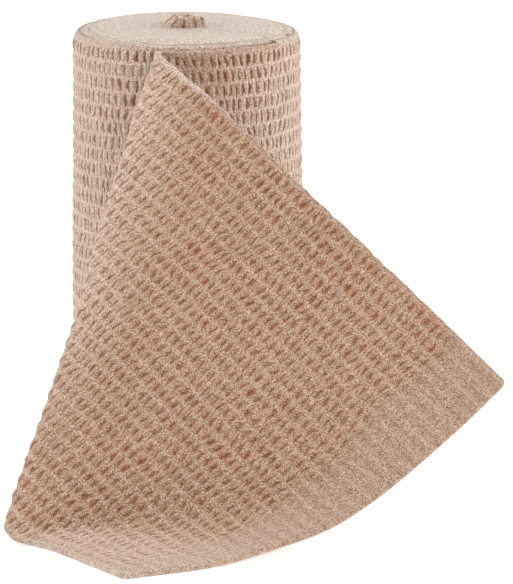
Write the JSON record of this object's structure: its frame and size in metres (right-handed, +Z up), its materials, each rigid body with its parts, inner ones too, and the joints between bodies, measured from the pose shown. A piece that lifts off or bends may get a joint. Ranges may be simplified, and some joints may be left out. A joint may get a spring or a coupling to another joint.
{
  "type": "long stretch bandage roll",
  "caption": "Upright roll of crepe-woven stretch bandage, its loose end folded back on a slanting crease and fanned out down to the table.",
  "frame": {"origin": "centre of the roll's base, on the surface that it stands on", "axes": "+Z up along the roll's axis, -Y towards the side where the loose end comes down, +X to the right seen from that side"},
  "size_m": [0.1112, 0.1543, 0.104],
  "materials": {
    "crepe_cloth": "matt skin-coloured crepe weave, with crosswise ribs, thin lengthwise rows and small open gaps, slightly fuzzy"
  },
  "bodies": {
    "root": {"wound_roll": "crepe_cloth", "loose_end": "crepe_cloth"}
  },
  "joints": []
}
